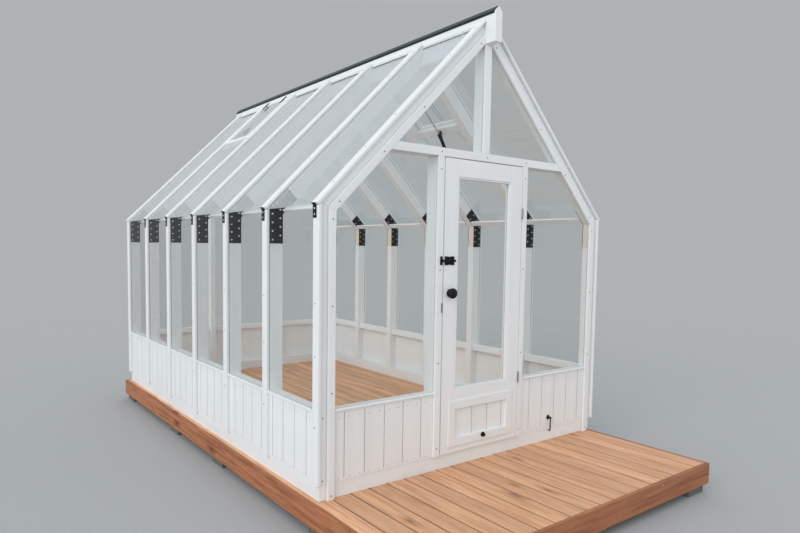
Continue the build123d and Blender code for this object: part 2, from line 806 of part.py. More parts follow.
with BuildPart() as door_knob:
    bar_along_y(knob_x, knob_height, spindle_radius, door_front - knob_reach, door_back + knob_reach)
    for face, way in ((door_front - rose_thickness - knob_clearance, -1),
                      (door_back + rose_thickness + knob_clearance, 1)):
        centre = (door_front - knob_reach) if way < 0 else (door_back + knob_reach)
        bar_along_y(knob_x, knob_height, knob_neck_radius, min(face, centre), max(face, centre))
        ball(knob_x, centre, knob_height, knob_radius)
save(door_knob, "door_knob")

with BuildPart() as knob_roses:
    bar_along_y(knob_x, knob_height, rose_radius, door_front - rose_thickness, door_front)
    bar_along_y(knob_x, knob_height, rose_radius, door_back, door_back + rose_thickness)
    bar_along_y(knob_x, knob_height, spindle_radius + spindle_clearance, door_front - rose_thickness,
                door_back + rose_thickness, Mode.SUBTRACT)
save(knob_roses, "knob_roses")

# Barrel bolt: the plate's two guides carry the rod, shown drawn back into the door
bolt_face = door_front - bolt_plate_thickness
bolt_y = bolt_face - bolt_rod_offset
bolt_left = door_lock_edge + bolt_setback
bolt_right = bolt_left + bolt_plate_length
guide_half = bolt_rod_radius + bolt_clearance + bolt_guide_wall
bolt_bore = bolt_rod_radius + bolt_clearance


def bar_along_x(x_from, x_to, y, z, radius, mode=Mode.ADD):
    """Round bar or bore along X, with the height from the floor."""
    with BuildSketch(Plane.YZ.offset(x_from)) as section:
        with Locations((y, floor + z)):
            Circle(radius)
    extrude(section.sketch, amount=x_to - x_from, mode=mode)


with BuildPart() as bolt_plate:
    block(bolt_left, bolt_right, bolt_face, door_front, bolt_height - bolt_plate_height / 2,
          bolt_height + bolt_plate_height / 2)
    for edge in (bolt_left, bolt_right - bolt_guide_width):
        block(edge, edge + bolt_guide_width, bolt_y - guide_half, bolt_face,
              bolt_height - guide_half, bolt_height + guide_half)
    bar_along_x(bolt_left, bolt_right, bolt_y, bolt_height, bolt_bore, Mode.SUBTRACT)
    for level in (bolt_height - bolt_plate_height / 2, bolt_height + bolt_plate_height / 2):
        bar_along_y((bolt_left + bolt_right) / 2, level, bolt_scallop_radius, bolt_face, door_front,
                    Mode.SUBTRACT)
save(bolt_plate, "bolt_plate")

bolt_knob_x = bolt_right - bolt_guide_width - bolt_knob_radius - bolt_knob_margin
with BuildPart() as bolt_rod:
    bar_along_x(door_lock_edge + bolt_tip_setback, bolt_right, bolt_y, bolt_height, bolt_rod_radius)
    bar_along_y(bolt_knob_x, bolt_height, bolt_knob_radius, bolt_y - bolt_knob_length, bolt_y)
save(bolt_rod, "bolt_rod")

# Keeper for the bolt and strike for the knob's latch, both on the lock side's post strip
keeper_right = -opening_half_width - keeper_setback
keeper_bore = bolt_rod_radius + keeper_clearance
keeper_half = keeper_bore + bolt_guide_wall
with BuildPart() as post_keepers:
    block(keeper_right - keeper_length, keeper_right, bolt_face, door_front,
          bolt_height - bolt_plate_height / 2, bolt_height + bolt_plate_height / 2)
    block(keeper_right - keeper_length, keeper_right, bolt_y - keeper_half, bolt_face,
          bolt_height - keeper_half, bolt_height + keeper_half)
    extrude(rectangle(keeper_right - keeper_length, keeper_right, bolt_y - keeper_bore, bolt_y + keeper_bore,
                      floor + bolt_height - keeper_bore), amount=2 * keeper_bore, mode=Mode.SUBTRACT)
    block(-opening_half_width - strike_depth, -opening_half_width, door_front - strike_thickness,
          door_front, strike_height - strike_length / 2, strike_height + strike_length / 2)
save(post_keepers, "post_keepers")

# Eye plate on the door's moulding
eye_face = door_front - moulding_thickness
ring_centre = eye_face - disc_thickness - eye_ring_radius
with BuildPart() as door_eye_plate:
    bar_along_y(eye_offset, eye_height, disc_radius, eye_face - disc_thickness, eye_face)
    bar_along_x(eye_offset - eye_wire_radius, eye_offset + eye_wire_radius, ring_centre, eye_height,
                eye_ring_radius + eye_wire_radius)
    bar_along_x(eye_offset - eye_wire_radius, eye_offset + eye_wire_radius, ring_centre, eye_height,
                eye_ring_radius - eye_wire_radius, Mode.SUBTRACT)
save(door_eye_plate, "door_eye_plate")

# Hook on the front panel: it hangs from a pin and swings flat along the wall
panel_face = front_glass
hook_front = panel_face - disc_thickness - hook_pin_length
ring_back = hook_front + hook_head + hook_ring_width + hook_end_play
with BuildPart() as hook_plate:
    bar_along_y(hook_offset, hook_height, disc_radius, panel_face - disc_thickness, panel_face)
    bar_along_y(hook_offset, hook_height, hook_pin_radius, hook_front, panel_face - disc_thickness)
    bar_along_y(hook_offset, hook_height, hook_collar_radius, ring_back, panel_face - disc_thickness)
    bar_along_y(hook_offset, hook_height, hook_collar_radius, hook_front, hook_front + hook_head)
save(hook_plate, "hook_plate")

hook_y = ring_back - hook_end_play / 2 - hook_ring_width / 2
with BuildPart() as door_hook:
    bar_along_y(hook_offset, hook_height, hook_eye_radius, hook_y - hook_ring_width / 2,
                hook_y + hook_ring_width / 2)
    bend_level = hook_height - hook_length
    bend_x = hook_offset - hook_bend_radius
    bend_out = hook_bend_radius + hook_wire_radius
    block(hook_offset - hook_wire_radius, hook_offset + hook_wire_radius, hook_y - hook_wire_radius,
          hook_y + hook_wire_radius, bend_level, hook_height - hook_pin_radius)
    bar_along_y(bend_x, bend_level, bend_out, hook_y - hook_wire_radius, hook_y + hook_wire_radius)
    extrude(rectangle(bend_x - bend_out, hook_offset - hook_wire_radius, hook_y - hook_wire_radius,
                      hook_y + hook_wire_radius, floor + bend_level), amount=bend_out, mode=Mode.SUBTRACT)
    bar_along_y(bend_x, bend_level, hook_bend_radius - hook_wire_radius, hook_y - hook_wire_radius,
                hook_y + hook_wire_radius, Mode.SUBTRACT)
    bar_along_y(hook_offset, hook_height, hook_pin_radius + hook_pin_clearance,
                hook_y - hook_ring_width / 2, hook_y + hook_ring_width / 2, Mode.SUBTRACT)
save(door_hook, "door_hook")
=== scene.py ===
"""White timber greenhouse on its own raised deck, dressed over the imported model. Sizes are in metres."""
import bmesh
import bpy
import json
from math import cos, radians, sin, tan
from mathutils import Euler, Matrix, Vector


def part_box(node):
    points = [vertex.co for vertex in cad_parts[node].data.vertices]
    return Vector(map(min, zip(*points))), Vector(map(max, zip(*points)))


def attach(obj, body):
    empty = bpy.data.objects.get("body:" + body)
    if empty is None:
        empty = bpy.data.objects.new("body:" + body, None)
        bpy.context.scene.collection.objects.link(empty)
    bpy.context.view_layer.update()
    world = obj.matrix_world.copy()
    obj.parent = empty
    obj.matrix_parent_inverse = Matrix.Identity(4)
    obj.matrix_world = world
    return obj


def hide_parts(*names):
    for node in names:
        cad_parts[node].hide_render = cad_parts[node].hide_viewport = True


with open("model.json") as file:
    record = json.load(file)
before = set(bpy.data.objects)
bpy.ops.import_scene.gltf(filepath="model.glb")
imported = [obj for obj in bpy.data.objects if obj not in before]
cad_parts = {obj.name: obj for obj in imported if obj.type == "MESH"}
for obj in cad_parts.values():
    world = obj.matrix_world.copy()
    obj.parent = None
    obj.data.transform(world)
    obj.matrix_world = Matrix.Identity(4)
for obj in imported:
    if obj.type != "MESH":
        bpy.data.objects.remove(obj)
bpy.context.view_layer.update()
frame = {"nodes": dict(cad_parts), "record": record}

# Sizes, levels and lines of the house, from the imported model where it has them
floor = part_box("deck_floor")[1].z
bay = 0.640
bays = 6
timber = 0.066
post_depth = 0.090
rafter_depth = 0.095
eaves_height = 1.680
roof_pitch = radians(45)
strip_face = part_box("wall_strips")[1].x
house_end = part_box("wall_strips")[1].y
strip_thickness = 0.017
glass_thickness = 0.004
glass_face = strip_face - strip_thickness
post_face = glass_face - glass_thickness
post_inner = post_face - post_depth
gable_recess = strip_thickness + glass_thickness
panel_bottom, panel_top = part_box("lower_panels")[0].z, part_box("lower_panels")[1].z
plate_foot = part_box("eaves_brackets")[0].z
eaves = floor + eaves_height
apex = eaves + post_face * tan(roof_pitch)
gable_strip_width = 0.045
door_post_outer = 0.416
opening_half = 0.366
beam_middle = (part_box("gable_beams")[0].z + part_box("gable_beams")[1].z) / 2
frame_starts = [bay * number for number in range(bays + 1)]
left_vent_bay, right_vent_bay = 4, 1

# Each gable's face along Y, and the way that it looks
gables = ((0.0, -1), (house_end, 1))

# Distance within which two places are the same, and share of a unit vector that lies along an axis
tolerance = 0.001
along_axis = 0.9

# Boarding, with the nails' levels above the deck
board_pitch = 0.143
groove_width = 0.0055
groove_chamfer = groove_width * 0.22
groove_stop = 0.012
groove_overrun = 1.2
side_groove_starts = (0.162, 0.110, 0.140, 0.122, 0.134, 0.150)
side_groove_count = 4
gable_groove_first = 0.098
gable_groove_count = 5
rear_middle_groove_count = 5
door_grooves = (-0.074, 0.069, 0.212)
nail_radius = 0.0026
nail_profile = [(nail_radius, 0), (nail_radius, 0.0003), (nail_radius * 0.6, 0.0006)]
nail_levels = (0.112, 0.462)

# Deck boards, counted from the right rim
deck_board_width = 0.127
deck_board_gap = 0.006
deck_pitch = deck_board_width + deck_board_gap
rim_thickness = 0.025
board_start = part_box("deck_side_rims")[1].x - rim_thickness

# Easing of arrises and edges
timber_ease = 0.0022
metal_ease = 0.0006
deck_board_ease = 0.004
rim_ease = 0.003
joist_ease = 0.002
pad_ease = 0.006
moulding_ease = 0.0016
bead_ease = 0.0030
eased_angle = radians(32)
smooth_angle = radians(38)

# Screws, with their levels above the deck
screw_radius = 0.0045
screw_height = 0.0010
strip_screw_levels = (0.424, 0.825, 1.121)
strip_screw_share = 0.6
foot_screw_level = 0.080
foot_screw_inset = 0.014
foot_screw_margin = 0.012
corner_screw_levels = (0.026, 0.615, 1.106, 1.587)
door_post_screw_levels = (0.149, 0.704, 1.298, 1.930)
post_screw_levels = (0.115, 0.475)
beam_screw_places = (-0.391, 0.007, 0.391)
rafter_screw_places = (0.070, 0.540, 0.835, 1.140)
cap_screw_first = 0.100
cap_screw_step = 0.300
cap_screw_count = 6

# Colours of the paint, of the painted shade in its grooves, of its splashes and of the wood under it
paint_light = (0.838, 0.862, 0.872)
# Darker paint for the grooves' faces, as painted shade in the grooves
groove_shade_colour = (0.52, 0.53, 0.54)
paint_shade = 0.945
splash_tone = (0.52, 0.50, 0.46)
splash_height = 0.10
splash_strength = 0.18
bare_light, bare_dark = (0.84, 0.70, 0.58), (0.74, 0.56, 0.43)
bare_strength = 0.75

# Colours of the deck's timbers
deck_light, deck_dark = (0.880, 0.500, 0.285), (0.530, 0.240, 0.118)
rim_light, rim_dark = (0.480, 0.185, 0.078), (0.225, 0.070, 0.028)
joist_light, joist_dark = (0.36, 0.25, 0.16), (0.20, 0.13, 0.08)
nick_tone = (0.72, 0.58, 0.44)

# Shade of steel's darker spots
steel_shade = (0.78, 0.79, 0.80)

# Blue of what glass mirrors, and the least share that it mirrors
mirror_tint = (1.0, 1.02, 1.03)
least_mirror = 0.03


def scaled(colour, share):
    """A colour with each of its parts multiplied by a share."""
    return tuple(part * share for part in colour)


class Wire:
    """Socket of a finish, with arithmetic that adds Math nodes."""

    def __init__(self, finish, socket):
        self.finish = finish
        self.socket = socket

    def maths(self, operation, first, second=0.0):
        """A Math node on one or two values."""
        return self.finish.add("ShaderNodeMath", {"operation": operation}, {0: first, 1: second})

    def __add__(self, other):
        return self.maths("ADD", self, other)

    __radd__ = __add__

    def __sub__(self, other):
        return self.maths("SUBTRACT", self, other)

    def __rsub__(self, other):
        return self.maths("SUBTRACT", other, self)

    def __mul__(self, other):
        return self.maths("MULTIPLY", self, other)

    __rmul__ = __mul__

    def __truediv__(self, other):
        return self.maths("DIVIDE", self, other)

    def __pow__(self, other):
        return self.maths("POWER", self, other)

    def __gt__(self, other):
        return self.maths("GREATER_THAN", self, other)

    def __lt__(self, other):
        return self.maths("LESS_THAN", self, other)

    def __abs__(self):
        return self.maths("ABSOLUTE", self)

    def whole(self):
        """The whole number below the value."""
        return self.maths("FLOOR", self)

    def larger(self, other):
        """The larger of two values."""
        return self.maths("MAXIMUM", self, other)

    def between(self, low, high):
        """Smooth step from 0 at low to 1 at high."""
        sockets = {"Value": self, "From Min": low, "From Max": high}
        return self.finish.add("ShaderNodeMapRange", {"interpolation_type": "SMOOTHSTEP"}, sockets)


class Finish:
    """Nodes of a material or of the sky; a material's patterns follow object coordinates."""

    def __init__(self, owner):
        self.owner = owner
        owner.use_nodes = True
        self.tree = owner.node_tree
        self.tree.nodes.clear()
        self.place = self.add("ShaderNodeTexCoord", output="Object")

    def add(self, kind, settings=None, sockets=None, output=0):
        """A node of a type, with its settings set first and then the values or links of its sockets."""
        node = self.tree.nodes.new(kind)
        for name, value in (settings or {}).items():
            setattr(node, name, value)
        for name, value in (sockets or {}).items():
            if isinstance(value, Wire):
                self.tree.links.new(value.socket, node.inputs[name])
            else:
                node.inputs[name].default_value = value
        return Wire(self, node.outputs[output]) if len(node.outputs) else node

    def stretched(self, scale, turn=(0, 0, 0)):
        """Object coordinates turned, then stretched."""
        turned_place = self.add("ShaderNodeMapping", {}, {"Vector": self.place, "Rotation": turn})
        return self.add("ShaderNodeMapping", {}, {"Vector": turned_place, "Scale": scale})

    def noise(self, place, scale, detail=3.0, roughness=0.5, distortion=0.0):
        """Noise at a place, with values round 0.5."""
        sockets = {"Vector": place, "Scale": scale, "Detail": detail,
                   "Roughness": roughness, "Distortion": distortion}
        return self.add("ShaderNodeTexNoise", {}, sockets)

    def axis(self, letter, place=None):
        """One coordinate of a place."""
        return self.add("ShaderNodeSeparateXYZ", {}, {0: place or self.place}, output=letter)

    def mix(self, share, first, second):
        """Colour between two colours."""
        first, second = [(*c, 1.0) if isinstance(c, tuple) else c for c in (first, second)]
        return self.add("ShaderNodeMix", {"data_type": "RGBA"}, {0: share, 6: first, 7: second}, output=2)

    def bump(self, height, distance, strength):
        """The surface's direction, tilted by a height."""
        sockets = {"Height": height, "Distance": distance, "Strength": strength}
        return self.add("ShaderNodeBump", {}, sockets)

    def surface(self, sockets):
        """A Principled shader; varying values are wires and constants are set on its own sockets."""
        return self.add("ShaderNodeBsdfPrincipled", {}, sockets)

    def finished(self, shader, output="ShaderNodeOutputMaterial"):
        """Join a shader to the output, and give back the material or the sky."""
        self.add(output, {}, {"Surface": shader})
        return self.owner


def new_finish(name):
    """An empty finish of its own material."""
    return Finish(bpy.data.materials.new(name))


def white_paint(name, stretch, turn=(0, 0, 0), bare_inner_faces=False, light=paint_light):
    """Satin white paint brushed over planed softwood, with its grain along the least stretched axis."""
    finish = new_finish(name)
    grain_place = finish.stretched(stretch, turn)
    fibres = finish.noise(grain_place, scale=9.0, detail=5.0, roughness=0.6)
    brushing = finish.noise(grain_place, scale=2.6, detail=2.0)
    cloud = finish.noise(finish.place, scale=2.3, detail=3.0)
    height = finish.axis("Z")
    low_down = 1 - height.between(floor, floor + splash_height)
    splash = low_down * finish.noise(finish.place, scale=9.0, detail=5.0).between(0.45, 0.80)
    tone = (brushing - 0.5) * 0.9 + (cloud - 0.5) * 0.7 + 0.5
    paint = finish.mix(tone.between(0.15, 0.85), scaled(light, paint_shade), light)
    colour = finish.mix(splash * splash_strength, paint, splash_tone)
    if bare_inner_faces:
        bare = (abs(finish.axis("X")) < post_inner + tolerance) * (height > plate_foot)
        wood = finish.mix(fibres, bare_dark, bare_light)
        colour = finish.mix(bare * bare_strength, colour, wood)
    rough = fibres * 0.12 + brushing * 0.08 + 0.32
    normal = finish.bump(fibres * 0.7 + brushing * 0.3, distance=0.0008, strength=0.25)
    return finish.finished(finish.surface({"Base Color": colour, "Roughness": rough, "Normal": normal}))


def oiled_timber(name, stretch, board_axis, light, dark, edge_shade=0.0):
    """Oiled decking, each board with its own tone, dark growth lines, knots and pale nicks, and painted
    shade along each board's long edges as strong as asked.
    """
    finish = new_finish(name)
    boards = (board_start - finish.axis(board_axis)) / deck_pitch
    number = boards.whole()
    own = finish.add("ShaderNodeTexWhiteNoise", {"noise_dimensions": "1D"}, {"W": number})
    offset = finish.add("ShaderNodeCombineXYZ", {}, {0: own * 3.0, 1: own * 9.0, 2: own * 5.0})
    shifted = finish.add("ShaderNodeVectorMath", {"operation": "ADD"}, {0: finish.place, 1: offset})
    drawn = finish.add("ShaderNodeMapping", {}, {"Vector": shifted, "Scale": stretch})
    lines = finish.noise(drawn, scale=17.0, detail=6.0, roughness=0.62, distortion=0.5)
    bands = finish.noise(drawn, scale=6.0, detail=3.0, roughness=0.5, distortion=1.4)
    fine = finish.noise(drawn, scale=70.0, detail=3.0, roughness=0.6)
    short_stretch = tuple(part ** 0.4 for part in stretch)
    knot_place = finish.add("ShaderNodeMapping", {}, {"Vector": shifted, "Scale": short_stretch})
    knot_sockets = {"Vector": knot_place, "Scale": 4.0, "Randomness": 1.0}
    from_knot = finish.add("ShaderNodeTexVoronoi", {}, knot_sockets)
    knots = 1 - from_knot.between(0.060, 0.115)
    halo = 1 - from_knot.between(0.090, 0.260)
    growth = (lines * 0.6 + bands * 0.4 - halo * 0.12).between(0.30, 0.62)
    wood = finish.mix(growth, dark, light)
    toned = finish.mix(own * 0.55, wood, scaled(light, 0.60))
    streaked = finish.mix((1 - fine.between(0.30, 0.46)) * 0.40, toned, dark)
    # Painted shade along each board's long edges, next to the gaps
    from_middle = abs(boards - number - 0.5)
    edge_painted_shade = from_middle.between(0.435, 0.475)
    edged = finish.mix(edge_painted_shade * edge_shade, streaked, scaled(dark, 0.22))
    knotted = finish.mix(knots * 0.65, edged, scaled(dark, 0.35))
    specks = finish.noise(finish.place, scale=48.0, detail=2.0).between(0.735, 0.76)
    nicked = finish.mix(specks * 0.55, knotted, nick_tone)
    rough = 0.66 - growth * 0.12
    normal = finish.bump(lines * 0.6 + fine * 0.4, distance=0.0014, strength=0.5)
    return finish.finished(finish.surface({"Base Color": nicked, "Roughness": rough, "Normal": normal}))


def coated_metal(name, colour, worn, rough, shine=0.15):
    """Powder coated metal with a fine skin and slightly worn high spots."""
    finish = new_finish(name)
    skin = finish.noise(finish.place, scale=420.0, detail=2.0)
    cloud = finish.noise(finish.place, scale=24.0, detail=4.0, roughness=0.6)
    tone = finish.mix(cloud.between(0.45, 0.75) * 0.5, colour, worn)
    normal = finish.bump(skin, distance=0.00025, strength=0.5)
    sockets = {"Base Color": tone, "Roughness": cloud * 0.16 + rough,
               "Normal": normal, "Specular IOR Level": shine}
    return finish.finished(finish.surface(sockets))


def plain_steel(name, tone, metallic=1.0):
    """Zinc plated or stainless steel with a faint drawn pattern."""
    finish = new_finish(name)
    drawn = finish.noise(finish.stretched((40, 40, 4)), scale=30.0, detail=3.0)
    spots = finish.noise(finish.place, scale=60.0, detail=3.0)
    colour = finish.mix(spots, scaled(steel_shade, tone), (tone, tone, tone))
    sockets = {"Base Color": colour, "Roughness": drawn * 0.2 + 0.26, "Metallic": metallic}
    return finish.finished(finish.surface(sockets))


def clear_glass(name, tint, haze, mirror_tone, misted=False):
    """Window glass: clear when seen square on, and a mirror at a low angle, sooner where it is misted."""
    finish = new_finish(name)
    facing_away = finish.add("ShaderNodeLayerWeight", {}, {"Blend": 0.5}, output="Facing")
    film = finish.noise(finish.place, scale=1.7, detail=4.0).between(0.35, 0.75)
    mirror = facing_away.between(0.55, 0.85) * 0.70 if misted else facing_away ** 5.0 * 0.55
    waves = finish.noise(finish.place, scale=1.1, detail=1.0)
    normal = finish.bump(waves, distance=0.0012, strength=0.12)
    through = finish.add("ShaderNodeBsdfTransparent", {}, {"Color": (*tint, 1.0)})
    colour = (*scaled(mirror_tint, mirror_tone), 1.0)
    gloss = finish.surface({"Base Color": colour, "Metallic": 1.0,
                            "Roughness": film * 0.04 + 0.01, "Normal": normal})
    share = mirror + film * haze + least_mirror
    return finish.finished(finish.add("ShaderNodeMixShader", {}, {0: share, 1: through, 2: gloss}))


def glass_edge(name):
    """Ground edge of a pane, pale green."""
    finish = new_finish(name)
    ground = finish.noise(finish.place, scale=90.0, detail=2.0)
    colour = finish.mix(ground, (0.50, 0.68, 0.62), (0.68, 0.82, 0.77))
    sockets = {"Base Color": colour, "Roughness": ground * 0.2 + 0.15, "Alpha": 0.7}
    return finish.finished(finish.surface(sockets))


def cast_stone_in_painted_shade(name):
    """Concrete with fine pits, darker than concrete is, as painted shade under the deck."""
    finish = new_finish(name)
    sand = finish.noise(finish.place, scale=160.0, detail=4.0, roughness=0.7)
    cloud = finish.noise(finish.place, scale=9.0, detail=4.0)
    # Very dark greys: painted shade that hides the pads under the rims
    colour = finish.mix(cloud, (0.10, 0.10, 0.097), (0.17, 0.167, 0.160))
    normal = finish.bump(sand, distance=0.0010, strength=0.7)
    sockets = {"Base Color": colour, "Roughness": sand * 0.2 + 0.75, "Normal": normal}
    return finish.finished(finish.surface(sockets))


# Paints, each with its grain along its timbers
stretch_up, stretch_along, stretch_across = (7.0, 7.0, 0.5), (7.0, 0.5, 7.0), (0.5, 7.0, 7.0)
grain_up = white_paint("paint_upright_grain", stretch_up)
grain_posts = white_paint("paint_posts_bare_inside", stretch_up, bare_inner_faces=True)
grain_along = white_paint("paint_grain_along_house", stretch_along)
grain_across = white_paint("paint_grain_across_gable", stretch_across)
# The same paint darkened, as painted shade on the grooves' faces
groove_painted_shade = white_paint("painted_shade_in_grooves", stretch_up, light=groove_shade_colour)
slope_left = white_paint("paint_grain_roof_left", stretch_up, turn=(0, -roof_pitch, 0))
slope_right = white_paint("paint_grain_roof_right", stretch_up, turn=(0, roof_pitch, 0))
board_paint_and_groove_shade = (grain_up, groove_painted_shade)

# Oiled timbers of the deck, with grain along or across the house
long_grain, cross_grain = (3.0, 0.16, 3.0), (0.16, 3.0, 3.0)
board_oil = oiled_timber("oiled_deck_boards", long_grain, "X", deck_light, deck_dark, edge_shade=0.8)
side_rim_oil = oiled_timber("oiled_side_rims", long_grain, "X", rim_light, rim_dark)
end_rim_oil = oiled_timber("oiled_end_rims", cross_grain, "Y", rim_light, rim_dark)
joist_oil = oiled_timber("deck_joist_timber", cross_grain, "Y", joist_light, joist_dark)

# Metal, glass and concrete
black_coat = coated_metal("black_powder_coat", (0.010, 0.011, 0.012), (0.024, 0.025, 0.026), 0.48)
matt_black = coated_metal("matt_black_hinge_coat", (0.008, 0.009, 0.010), (0.016, 0.017, 0.018), 0.60,
                          shine=0.0)
dark_roof_coat = coated_metal("dark_roof_coat", (0.014, 0.026, 0.028), (0.030, 0.046, 0.048), 0.30)
hinge_steel = plain_steel("hinge_steel", 0.42)
rod_steel = plain_steel("rod_steel", 0.62, 0.6)
screw_steel = plain_steel("screw_steel", 0.16, 0.7)
bright_zinc = plain_steel("bright_zinc", 0.86, 0.25)
wall_pane = clear_glass("wall_pane_glass", (0.986, 0.995, 0.992), 0.004, 0.40)
roof_pane = clear_glass("roof_pane_glass", (0.970, 0.985, 0.985), 0.050, 0.94, misted=True)
pane_edge = glass_edge("ground_pane_edge")
pad_concrete_painted_shade = cast_stone_in_painted_shade("pad_concrete_painted_shade")


def only(piece):
    """Make one piece the selected and active one."""
    bpy.ops.object.select_all(action="DESELECT")
    piece.select_set(True)
    bpy.context.view_layer.objects.active = piece


def edit(piece):
    """Enter edit mode on one piece with nothing selected."""
    only(piece)
    bpy.ops.object.mode_set(mode="EDIT")
    bpy.ops.mesh.select_all(action="DESELECT")


def leave():
    """Leave edit mode."""
    bpy.ops.object.mode_set(mode="OBJECT")


def pick_edges(piece, test):
    """Select the edges, in edit mode, whose middle and direction pass a test."""
    bpy.ops.mesh.select_mode(type="EDGE")
    bpy.ops.mesh.select_all(action="DESELECT")
    mesh = bmesh.from_edit_mesh(piece.data)
    for edge in mesh.edges:
        first, second = (v.co for v in edge.verts)
        edge.select_set(test((first + second) / 2, (second - first).normalized()))
    bmesh.update_edit_mesh(piece.data)


def block(name, low, high):
    """Block between two corners, its place in its mesh."""
    low, high = Vector(low), Vector(high)
    bpy.ops.object.select_all(action="DESELECT")
    bpy.ops.mesh.primitive_cube_add(size=1, location=(low + high) / 2, scale=high - low)
    bpy.ops.object.transform_apply(location=True, rotation=True, scale=True)
    bpy.context.object.name = name
    return bpy.context.object


def modify(piece, kind, **settings):
    """Add a modifier to a piece and apply it."""
    only(piece)
    modifier = piece.modifiers.new(kind.lower(), kind)
    for name, value in settings.items():
        setattr(modifier, name, value)
    bpy.ops.object.modifier_apply(modifier=modifier.name)
    return piece


def ease(piece, width):
    """Round a piece's arrises, with its flat faces left flat to the light."""
    modify(piece, "BEVEL", width=width, segments=2, limit_method="ANGLE", angle_limit=eased_angle,
           use_clamp_overlap=True, harden_normals=False)
    bpy.ops.object.shade_smooth_by_angle(angle=smooth_angle)
    return modify(piece, "WEIGHTED_NORMAL", keep_sharp=True)


def turned(name, profile, sides):
    """Piece turned about Z: from its first radius and level, each next ring is extruded and resized."""
    bpy.ops.object.select_all(action="DESELECT")
    radius, level = profile[0]
    bpy.ops.mesh.primitive_circle_add(vertices=sides, radius=radius, fill_type="NGON",
                                      location=(0, 0, level))
    piece = bpy.context.object
    piece.name = name
    bpy.ops.object.transform_apply(location=True, rotation=True, scale=True)
    edit(piece)
    bpy.ops.mesh.select_all(action="SELECT")
    for next_radius, next_level in profile[1:]:
        bpy.ops.mesh.extrude_region_move(TRANSFORM_OT_translate={"value": (0, 0, next_level - level)})
        ratio = next_radius / radius
        bpy.ops.transform.resize(value=(ratio, ratio, 1), center_override=(0, 0, next_level))
        radius, level = next_radius, next_level
    bpy.ops.mesh.select_all(action="SELECT")
    bpy.ops.mesh.normals_make_consistent(inside=False)
    leave()
    bpy.ops.object.shade_smooth_by_angle(angle=smooth_angle)
    return piece


def joined(pieces, name):
    """Pieces made into one."""
    bpy.ops.object.select_all(action="DESELECT")
    for piece in pieces:
        piece.select_set(True)
    bpy.context.view_layer.objects.active = pieces[0]
    bpy.ops.object.join()
    bpy.context.object.name = name
    return bpy.context.object


def copies(piece, places, name):
    """Copies of a piece, each with its own mesh, put at their places and made one piece."""
    made = []
    for place in places:
        twin = bpy.data.objects.new(name, piece.data.copy())
        twin.data.transform(place)
        bpy.context.collection.objects.link(twin)
        made.append(twin)
    bpy.data.objects.remove(piece)
    return joined(made, name)


def facing(place, normal):
    """Matrix that puts a piece modelled along +Z at a place, pointing along a normal."""
    turn = Vector(normal).to_track_quat("Z", "Y").to_matrix().to_4x4()
    return Matrix.Translation(Vector(place)) @ turn


def dress(piece, finishes, body="house", stands_for=()):
    """Give a piece its finishes, keeping each face's index, attach it to its body, and hide the nodes that
    it stands for.
    """
    faces = piece.data.polygons
    kept = [face.material_index for face in faces]
    piece.data.materials.clear()
    for material in finishes:
        piece.data.materials.append(material)
    for face, index in zip(faces, kept):
        face.material_index = min(index, len(finishes) - 1)
    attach(piece, body)
    if stands_for:
        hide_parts(*stands_for)
    return piece


def second_finish(piece, test):
    """Put a piece's second finish on the faces whose middle and normal pass a test."""
    for face in piece.data.polygons:
        face.material_index = int(test(face.center, face.normal))


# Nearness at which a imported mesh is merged, and the bend under which its faces are one
weld_distance = 0.00002
flat_angle = radians(0.5)


def copy_of(node, name):
    """Merged copy of a node's mesh, with its flat faces whole and flat."""
    piece = bpy.data.objects.new(name, frame["nodes"][node].data.copy())
    bpy.context.collection.objects.link(piece)
    only(piece)
    bpy.ops.mesh.customdata_custom_splitnormals_clear()
    edit(piece)
    bpy.ops.mesh.select_all(action="SELECT")
    bpy.ops.mesh.remove_doubles(threshold=weld_distance)
    bpy.ops.mesh.dissolve_limited(angle_limit=flat_angle)
    leave()
    bpy.ops.object.shade_flat()
    return piece


def body_of(node):
    """The body that a node rides on."""
    groups = frame["record"]["behaviour"]["bodies"]
    return next(body for body, nodes in groups.items() if node in nodes)


def eased_node(node, name, finishes, width=timber_ease):
    """A node's shape with its arrises eased, shown in its place."""
    piece = ease(copy_of(node, name), width)
    return dress(piece, finishes, body_of(node), [node])


# Nodes by the way that their grain runs
upright_nodes = ("wall_strips", "gable_posts", "gable_upright_strips", "door_stiles", "door_stops")
along_nodes = ("side_base_boards", "ridge_beam", "eaves_rails", "vent_trimmers", "vent_frames", "sills")
across_nodes = ("end_base_boards", "gable_beams", "gable_beam_strips", "door_rails")
sloping_nodes = ("rafters", "roof_caps", "gable_rafter_strips")
fine_ease = {"door_stops": 0.0010, "vent_frames": 0.0015, "sills": 0.0015, "eaves_rails": 0.0015}


def painted_timbers():
    """Every plain timber of the house and the door, with eased arrises."""
    grains = ((upright_nodes, grain_up), (along_nodes, grain_along), (across_nodes, grain_across))
    for nodes, finish in grains:
        for node in nodes:
            eased_node(node, f"painted_{node}", [finish], fine_ease.get(node, timber_ease))
    eased_node("frame_posts", "painted_frame_posts", [grain_posts])
    for node in sloping_nodes:
        piece = eased_node(node, f"painted_{node}", [slope_left, slope_right])
        second_finish(piece, lambda middle, normal: middle.x > 0)


